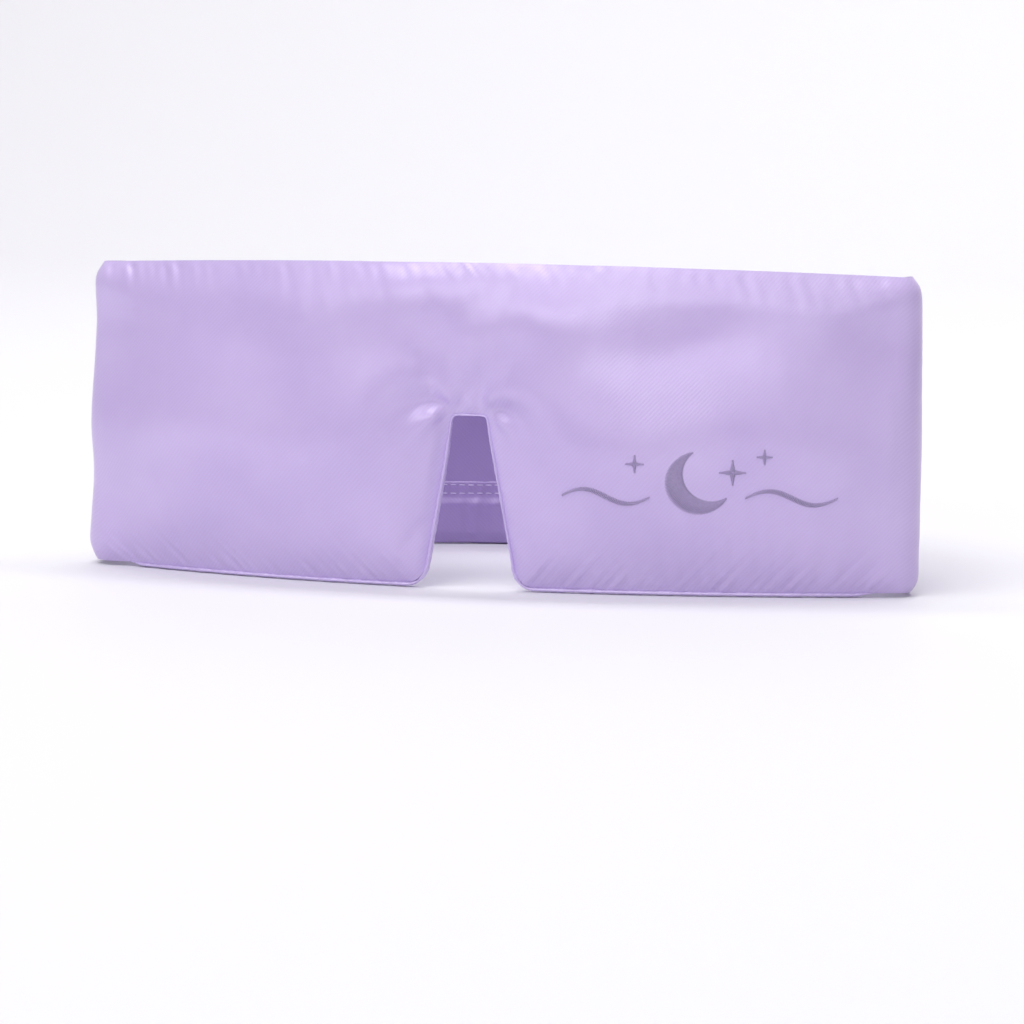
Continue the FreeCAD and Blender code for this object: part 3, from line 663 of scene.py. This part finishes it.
def tube(path, radius, sides=8, squash=1.0, across=None):
    """Points and quads of a closed tube along flat points, with its ends drawn in."""
    path = np.asarray(path, float)
    along = np.gradient(path, axis=0)
    along /= np.maximum(np.linalg.norm(along, axis=1, keepdims=True), 1e-9)
    up = np.array([0.0, 1.0, 0.0]) if across is None else np.asarray(across, float)
    side = np.cross(along, up)
    side /= np.maximum(np.linalg.norm(side, axis=1, keepdims=True), 1e-9)
    rise = np.cross(side, along)
    radius = np.broadcast_to(radius, len(path)).astype(float)[:, None, None]
    turn = np.arange(sides) * 2 * math.pi / sides
    ring = side[:, None] * np.cos(turn)[:, None] + rise[:, None] * (squash * np.sin(turn))[:, None]
    co = (path[:, None] + ring * radius).reshape(-1, 3)
    at = np.arange(len(co)).reshape(len(path), sides)
    on = np.roll(at, -1, axis=1)
    quads = np.stack([at[:-1], at[1:], on[1:], on[:-1]], -1).reshape(-1, 4)
    half = sides // 2
    caps = []
    for ends, flip in ((at[0], False), (at[-1], True)):
        for k in range(half - 1):
            cap = [ends[k], ends[k + 1], ends[sides - 2 - k], ends[sides - 1 - k]]
            caps.append(cap[::-1] if flip else cap)
    return co, np.concatenate([quads, np.array(caps)])


def join_tubes(parts):
    """Several tubes' points and quads as one mesh."""
    co, quads, start = [], [], 0
    for points_of, quads_of in parts:
        co.append(points_of)
        quads.append(quads_of + start)
        start += len(points_of)
    return np.concatenate(co), np.concatenate(quads)


def stitch_row(path, length=2.1, pitch=2.8, radius=0.19, sink=0.1):
    """Separate lockstitches along flat points, each a short thread that dips at both ends."""
    path = np.asarray(path, float)
    steps = np.linalg.norm(np.diff(path, axis=0), axis=1)
    run = np.concatenate([[0], np.cumsum(steps)])
    made = []
    for start in np.arange(pitch / 2, run[-1] - length / 2, pitch):
        t = np.linspace(-0.5, 0.5, 7)
        where = start + t * length
        line = np.stack([np.interp(where, run, path[:, k]) for k in range(3)], -1)
        line[:, 1] -= np.sign(line[:, 1]) * sink * (2 * t) ** 2 * 2
        made.append(tube(line, radius * (1 - 0.45 * (2 * t) ** 4), sides=6))
    return made


# ---- the lining's rolled edge along the lobes and round the notch ------------------------------


def chain_spline(chain, steps=6):
    """The smooth curve that the fine cloth's edge follows through these points."""
    ends = np.concatenate([[2 * chain[0] - chain[1]], chain, [2 * chain[-1] - chain[-2]]])
    t = np.linspace(0, 1, steps, endpoint=False)[:, None]
    made = []
    for k in range(len(chain) - 1):
        a, b, c, d = ends[k : k + 4]
        near_b, near_c = 3 * t**3 - 6 * t**2 + 4, -3 * t**3 + 3 * t**2 + 3 * t + 1
        made.append(((1 - t) ** 3 * a + near_b * b + near_c * c + t**3 * d) / 6)
    return np.concatenate(made)


def edge_chain():
    """The front's lower seam, from the left end, up round the notch and on to the right end."""
    first, last = np.searchsorted(columns, [-(FOLD - 9), FOLD - 9])
    before, after = np.searchsorted(columns, [-HEAD_HALF - 0.1, HEAD_HALF - 0.1])
    cells = [(i, 0) for i in range(first, before + 1)]
    cells += [(before, j) for j in range(1, LOW_ROWS + 1)]
    cells += [(i, LOW_ROWS) for i in range(before + 1, after + 1)]
    cells += [(after, j) for j in range(LOW_ROWS - 1, -1, -1)]
    cells += [(i, 0) for i in range(after + 1, last + 1)]
    return np.array([[flat_s[c], flat_z[c]] for c in cells])


ROLL_SIDES = 14
edge_line = chain_spline(edge_chain())
along = np.gradient(edge_line, axis=0)
along /= np.linalg.norm(along, axis=1, keepdims=True)
outward = np.stack([along[:, 1], -along[:, 0]], -1)
run = np.concatenate([[0], np.cumsum(np.linalg.norm(np.diff(edge_line, axis=0), axis=1))])
ends = smooth(run, 0, 9) * smooth(run[-1] - run, 0, 9)
in_head = np.exp(-((np.maximum(NOTCH_TOP - edge_line[:, 1], 0) / 9) ** 2)) * (edge_line[:, 1] > 20)
tucked = np.maximum(in_head, 0.6 * smooth(edge_line[:, 1], 2, 12) * (edge_line[:, 0] > 0))
centre = edge_line + outward * (0.78 * ends - 0.25 - 0.5 * tucked)[:, None]
per_stitch = 0.07 * np.sin(run * 2 * math.pi / 2.8)
pinch = (1 - 0.5 * tucked) * (1 + per_stitch + 0.08 * waves(run, 0, 81, (7.3, 11.0), 0.1))
turn = np.arange(ROLL_SIDES) * 2 * math.pi / ROLL_SIDES
reach = np.where(np.cos(turn) > 0, 0.5, 0.85) * np.cos(turn)
out_reach = (pinch * (0.25 + 0.75 * ends))[:, None] * reach
thick = (1.2 * pinch * (0.4 + 0.6 * ends))[:, None] * np.sin(turn)
thick = thick * (0.3 + 0.7 * smooth(np.cos(turn), -0.9, -0.1))
roll_points = np.stack(
    [
        centre[:, 0, None] + outward[:, 0, None] * out_reach,
        thick,
        centre[:, 1, None] + outward[:, 1, None] * out_reach,
    ],
    -1,
)
roll_points[..., 2] = np.maximum(roll_points[..., 2], 0.0)
head = np.abs(centre[:, 0]) < FOOT_HALF + 10
ROLLS = [
    ("left_edge_roll", np.flatnonzero((centre[:, 0] < 0) & ~head)),
    ("notch_binding", np.flatnonzero(head)),
    ("right_edge_roll", np.flatnonzero((centre[:, 0] > 0) & ~head)),
]
for name, rows_used in ROLLS:
    rows_used = np.arange(max(rows_used[0] - 1, 0), rows_used[-1] + 1)
    part_points = roll_points[rows_used].reshape(-1, 3)
    at = np.arange(len(part_points)).reshape(len(rows_used), ROLL_SIDES)
    on = np.roll(at, -1, axis=1)
    quads = np.stack([at[:-1], on[:-1], on[1:], at[1:]], -1).reshape(-1, 4)
    along_run = np.repeat(run[rows_used], ROLL_SIDES)
    roll_run = np.stack([along_run, np.tile(turn, len(rows_used))], -1)
    obj = solid(f"{name}_satin", part_points, quads, light_painted_rolled_cloth, roll_run)
    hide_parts(name)
    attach(obj, "front")

# ---- elastic casings inside the straps ---------------------------------------------------------

CASING = box_mm("left_lower_casing")[1][2]
STRAP_LOW = 0.3
CASING_INSET = 3.4
ROW_LEVELS = (CASING - 1.2, CASING - 3.8)


def circle_length(side, x, radius):
    """The length along a side where its strap's circle reaches x, positive before the middle."""
    return side.bend + side.back * (side.turn - math.asin(x / radius))


def casing_face(level, start, stop):
    """How far a casing stands in from the loop's line, with gathers over the elastic."""

    def face(s, z):
        e = z if level == "lower" else top_at(s) - z
        channel = smooth(e, 0.4, 4.5) * (1 - smooth(e, 12.0, 15.2))
        sewn = smooth(e, 0.2, 0.8) * (1 - 0.55 * smooth(e, CASING - 0.55, CASING))
        rows = sum(np.exp(-(((e - r) / 0.42) ** 2)) for r in ROW_LEVELS)
        inset = smooth(s, start, start + 2.5) * smooth(stop - s, 0, 2.5)
        gathers = 0.12 * waves(s, 0.12 * e, 91 + len(level), (6.1, 8.3, 4.9), 0.12)
        from_rows = (e - ROW_LEVELS[1] - 1.3) / 1.6
        near_row = 0.16 * np.cos(2 * math.pi * s / 2.8) * np.exp(-(from_rows**2))
        puckers = (gathers * (0.35 + channel) + near_row) * sewn
        rise = 1.15 * channel + 0.75 * sewn - 0.2 * rows + puckers
        return -(BAND_HALF - 0.3 + np.maximum(rise * (0.3 + 0.7 * inset), 0.05))

    return face


STRAPS = {
    "left": (left, -1, "left_strap"),
    "right": (right, 1, "right_strap"),
}
for name, (side, sign, body) in STRAPS.items():
    low, high = box_mm(f"{name}_lower_casing")
    far, near = (low[0], high[0]) if sign > 0 else (-high[0], -low[0])
    start = circle_length(side, near, side.back - CASING_INSET) + 0.4
    stop = circle_length(side, far, side.back - CASING_INSET) - 0.4
    lengths = np.arange(start, stop, 0.5)
    rows_made = []
    for level in ("lower", "upper"):
        channel_rows = [np.linspace(STRAP_LOW, 2, 5), np.arange(2.5, 14.5, 0.75)]
        seam_rows = [np.arange(14.5, CASING - 0.4, 0.25), np.linspace(CASING - 0.35, CASING, 5)]
        heights = np.concatenate(channel_rows + seam_rows)
        heights = heights if level == "lower" else (STRAP_TOP - heights)[::-1]
        inner_face = casing_face(level, start, stop)
        s_values = lengths if sign > 0 else -lengths[::-1]
        obj = slab(
            f"{name}_{level}_casing_cloth",
            s_values,
            heights,
            lambda s, z: inner_face(np.abs(s), z),
            lambda s, z: np.full(np.broadcast(s, z).shape, -(BAND_HALF - 0.75)),
            shade_darkened_lining_cloth,
        )
        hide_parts(f"{name}_{level}_casing", f"{name}_{level}_elastic")
        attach(obj, body)
        for e in ROW_LEVELS:
            z = e if level == "lower" else STRAP_TOP - e
            z_line = z + 0.16 * waves(lengths, 0, int(10 * e), (38, 23), 0.1)
            n_line = inner_face(lengths, np.full(len(lengths), z)) - 0.08
            rows_made += stitch_row(np.stack([sign * lengths, n_line, z_line], -1))
    co, quads = join_tubes(rows_made)
    obj = solid(f"{name}_casing_lockstitches", co, quads, thread)
    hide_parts(f"{name}_casing_stitches")
    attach(obj, body)

# ---- hook and loop tapes -----------------------------------------------------------------------


SEWN_IN = 1.5
TAPE_OUT = 2.45


def from_both_ends(low, high, short):
    """Values about 1 mm apart, and closer at both ends for a rounded rim."""
    rim = np.array([0, 0.15, 0.5])
    return np.concatenate([low + rim, np.arange(low + 1, high - short, 1.0), high - rim[::-1]])


def tape(name, side, sign, body, way, material, stitches):
    """A fastening tape on one face of a strap, with its round-cornered outline sewn down."""
    low, high = box_mm(name)
    at = side.back + way * TAPE_OUT
    near, far = (high[0], low[0]) if sign > 0 else (-low[0], -high[0])
    start, stop = circle_length(side, near, at), circle_length(side, far, at)
    z_low, z_high = low[2], high[2]
    lengths = from_both_ends(start, stop, 1)
    heights = from_both_ends(z_low, z_high, 0.9)

    def face(s, z):
        rim = np.minimum.reduce([np.abs(s) - start, stop - np.abs(s), z - z_low, z_high - z])
        sewn = np.exp(-(((rim - SEWN_IN) / 0.5) ** 2))
        pile = 0.8 * np.sqrt(np.clip(rim / 0.5, 0.02, 1))
        return way * (BAND_HALF + 0.15 + pile - 0.12 * sewn)

    s_values = lengths if sign > 0 else -lengths[::-1]
    back = way * (BAND_HALF - 0.6)

    def underside(s, z):
        return np.full(s.shape, back)

    obj = slab(name + "_pile", s_values, heights, face, underside, material)
    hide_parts(name)
    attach(obj, body)
    first, last, foot, head = start + SEWN_IN, stop - SEWN_IN, z_low + SEWN_IN, z_high - SEWN_IN
    ring = [(first, foot), (last, foot), (last, head), (first, head), (first, foot)]
    # the hook tape's stitches show on the flap's outside too, and the loop tape's only on the tape
    levels = [way * (BAND_HALF + 0.93)]
    if way < 0:
        levels.append(-way * (BAND_HALF + 0.14))
    made = []
    for (s_from, z_from), (s_to, z_to) in zip(ring, ring[1:]):
        line_s, line_z = np.linspace(s_from, s_to, 90), np.linspace(z_from, z_to, 90)
        for level in levels:
            path = np.stack([sign * line_s, np.full(90, level), line_z], -1)
            made += stitch_row(path, radius=0.16)
    co, quads = join_tubes(made)
    obj = solid(stitches.replace("stitches", "lockstitches"), co, quads, thread)
    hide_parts(stitches)
    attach(obj, body)


tape("hook_tape", right, 1, "flap", -1, hooks, "hook_stitches")
tape("loop_tape", left, -1, "left_strap", 1, loops, "loop_stitches")

# ---- the blank care label ----------------------------------------------------------------------

label_low, label_high = box_mm("care_label")
label_mid = np.array([(label_low[0] + label_high[0]) / 2, (label_low[1] + label_high[1]) / 2])
nearest = np.hypot(left.x - abs(label_mid[0]), left.y - label_mid[1]).argmin()
label_s = left.s[nearest]
lengths = -(label_s + np.arange(7.0, -7.3, -0.5))
heights = np.arange(label_low[2], label_high[2] + 0.1, 0.5)


def label_face(s, z):
    """How far the label stands in from the loop's line, bowed towards its free lower end."""
    curl = smooth(label_low[2] + 14 - z, 0, 14)
    bow = 0.35 * curl * np.cos((np.abs(s) - label_s) / 7 * 1.4)
    bow = bow + 0.08 * waves(s, z, 101, (11, 17), 1.0)
    return -(BAND_HALF + 0.42 + bow)


obj = slab(
    "care_label_ribbon",
    lengths,
    heights,
    label_face,
    lambda s, z: label_face(s, z) + 0.25,
    ribbon,
)
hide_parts("care_label")
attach(obj, "left_wing")
across = np.linspace(-6.6, 6.6, 30)
label_top = np.full(30, label_high[2] - 1.2)
label_row = -(label_s + across)
line = np.stack([label_row, label_face(label_row, label_top) - 0.08, label_top], -1)
co, quads = join_tubes(stitch_row(line, length=1.7, pitch=2.2, radius=0.15))
obj = solid("care_label_lockstitches", co, quads, thread)
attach(obj, "left_wing")

# ---- the embroidered moon, stars and waves -----------------------------------------------------

outer_faces = faces[is_outer]
mid_s = points[outer_faces, 0].mean(1)
near_motif = outer_faces[(mid_s > 15) & (mid_s < FOLD)]
skin = BVHTree.FromPolygons(points.tolist(), near_motif.tolist())


def on_cover(s, z, proud):
    """Flat points that stand proud of the cover's face at these lengths and heights."""
    out = []
    for a, b, c in np.broadcast(s, z, proud):
        place, normal, _, _ = skin.ray_cast(Vector((a, 40, b)), Vector((0, -1, 0)))
        out.append(place - normal * c)
    return np.array([list(o) for o in out])


motif_low, motif_high = box_mm("embroidered_motif")
MOON = 9.0
fold_x, fold_sag = joints["right_fold"][0], joints["right_fold"][1] - MIDDLE_Y
FRONT_ROUND = (fold_x**2 + fold_sag**2) / (2 * fold_sag)


def unrolled(x):
    """The length along the front at a distance x from its middle."""
    return FRONT_ROUND * np.arcsin(np.asarray(x, float) / (FRONT_ROUND + FRONT_HALF_THICK))


MOTIF_X = (motif_low[0] + motif_high[0]) / 2
MOTIF_Z = (motif_low[2] + 0.3 + 24.0) / 2 + 8.9
strands = []


def strand(x_line, z_line, radius=0.2, proud=0.2):
    """One thread of the embroidery over the cover, which dips into it at both ends."""
    t = np.linspace(-1, 1, len(x_line))
    path = on_cover(unrolled(x_line), z_line, proud * (1 - t**4) - 0.1)
    strands.append(tube(path, radius * (1 - 0.4 * t**6), sides=6))


def moon(x, z, reach):
    """A crescent of short threads from its outer edge to its bite."""
    bite, bx, bz = 0.86 * reach, x + 0.42 * reach, z + 0.3 * reach
    aim = math.atan2(0.3, 0.42)
    for turn in np.arange(math.radians(64), math.radians(296), 0.42 / reach):
        a = aim + turn
        edge_x, edge_z = x + reach * math.cos(a), z + reach * math.sin(a)
        dx, dz = bx - edge_x, bz - edge_z
        gap_to = math.hypot(dx, dz) - bite
        if gap_to > 0.3:
            k = np.linspace(0, gap_to / math.hypot(dx, dz), 7)
            strand(edge_x + dx * k, edge_z + dz * k)


def star(x, z, reach):
    """A four-pointed star of threads laid across each arm."""
    for arm in range(4):
        a = arm * math.pi / 2
        for t in np.arange(0.12, 1.0, 0.34 / reach):
            half = 0.27 * reach * (1 - t) if t > 0.25 else 0.27 * reach * 0.75 * (0.4 + 2.4 * t)
            k = np.linspace(-1, 1, 5) * max(half, 0.16)
            along_x, along_z = math.cos(a) * t * reach, math.sin(a) * t * reach
            strand(x + along_x - math.sin(a) * k, z + along_z + math.cos(a) * k, proud=0.25)


def swash(x_low, x_high, z, rise, width):
    """A wave of slanted threads that tapers at both ends."""
    for t in np.arange(0, 1, 0.46 / (x_high - x_low)):
        taper = math.sin(math.pi * min(max(t, 0.02), 0.98)) ** 0.45
        k = np.linspace(-0.5, 0.5, 5) * width * (0.35 + 0.75 * taper)
        x = x_low + (x_high - x_low) * t
        middle = z + rise * math.sin(2 * math.pi * t)
        strand(x + 0.55 * k, middle + 0.9 * k, radius=0.22, proud=0.28)


moon(MOTIF_X, MOTIF_Z, MOON)
star(MOTIF_X + 1.05 * MOON, MOTIF_Z + 0.35 * MOON, 3.6)
star(MOTIF_X + 2.0 * MOON, MOTIF_Z + 0.85 * MOON, 2.2)
star(MOTIF_X - 1.9 * MOON, MOTIF_Z + 0.6 * MOON, 2.5)
swash(MOTIF_X - 4.2 * MOON, MOTIF_X - 1.45 * MOON, MOTIF_Z - 0.45 * MOON, 0.22 * MOON, 1.4)
swash(MOTIF_X + 1.45 * MOON, MOTIF_X + 4.2 * MOON, MOTIF_Z - 0.45 * MOON, 0.22 * MOON, 1.4)
co, quads = join_tubes(strands)
obj = solid("embroidered_moon_and_waves", co, quads, floss)
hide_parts("embroidered_motif")
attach(obj, "front")

# ---- floor, light and camera -------------------------------------------------------------------


def plain(name, colour, rough=0.6):
    """A plain finish of one colour for the floor."""
    mat = bpy.data.materials.new(name)
    mat.use_nodes = True
    shader = mat.node_tree.nodes["Principled BSDF"]
    shader.inputs["Base Color"].default_value = linear(*colour)
    shader.inputs["Roughness"].default_value = rough
    return mat


sweep = [(-5.0, 0.0), (1.2, 0.0)]
for a in np.linspace(0.1, math.pi / 2, 16):
    sweep.append((1.2 + 0.9 * math.sin(a), 0.9 - 0.9 * math.cos(a)))
sweep += [(2.1, 5.0)]
floor_mesh = bpy.data.meshes.new("floor")
floor_mesh.from_pydata(
    [(x, y, z) for y, z in sweep for x in (-7.0, 7.0)],
    [],
    [(2 * k, 2 * k + 1, 2 * k + 3, 2 * k + 2) for k in range(len(sweep) - 1)],
)
floor_mesh.polygons.foreach_set("use_smooth", [True] * len(floor_mesh.polygons))
floor_mesh.materials.append(plain("floor", (229, 228, 232)))
floor = bpy.data.objects.new("floor", floor_mesh)
scene.collection.objects.link(floor)


def area(name, place, aim, size, power, colour=(1, 1, 1)):
    """A soft rectangular light aimed at a point."""
    light = bpy.data.lights.new(name, "AREA")
    light.shape = "RECTANGLE"
    light.size, light.size_y = size
    light.energy, light.color = power, colour
    obj = bpy.data.objects.new(name, light)
    obj.location = place
    obj.rotation_mode = "QUATERNION"
    obj.rotation_quaternion = (Vector(aim) - Vector(place)).to_track_quat("-Z", "Y")
    scene.collection.objects.link(obj)


area("key", (-0.35, -0.95, 1.75), (0, 0, 0.05), (1.5, 0.9), 20)
area("top", (0.2, 0.1, 1.8), (0, 0, 0), (1.6, 1.6), 5)
area("fill", (1.6, -1.2, 0.6), (0, 0, 0.05), (1.2, 1.2), 1.0)
area("strip", (-0.2, -2.0, 1.05), (0, 0, 0.05), (2.0, 0.35), 9)
area("backdrop", (0, 0.5, 2.4), (0, 2.1, 0.7), (3.0, 0.8), 48)
world_light = bpy.data.worlds.new("studio")
world_light.use_nodes = True
world_light.node_tree.nodes["Background"].inputs["Color"].default_value = (0.95, 0.945, 0.97, 1)
world_light.node_tree.nodes["Background"].inputs["Strength"].default_value = 0.27
scene.world = world_light
scene.view_settings.view_transform = "Standard"

camera = bpy.data.cameras.new("camera")
camera.lens, camera.sensor_width = 146, 36
eye = bpy.data.objects.new("camera", camera)
pitch = math.radians(7.04)
look = Vector((-0.2974 * math.cos(pitch), 0.9548 * math.cos(pitch), -math.sin(pitch)))
eye.location = (0.360, -1.167, 0.167)
eye.rotation_mode = "QUATERNION"
eye.rotation_quaternion = look.to_track_quat("-Z", "Y")
scene.collection.objects.link(eye)
scene.camera = eye
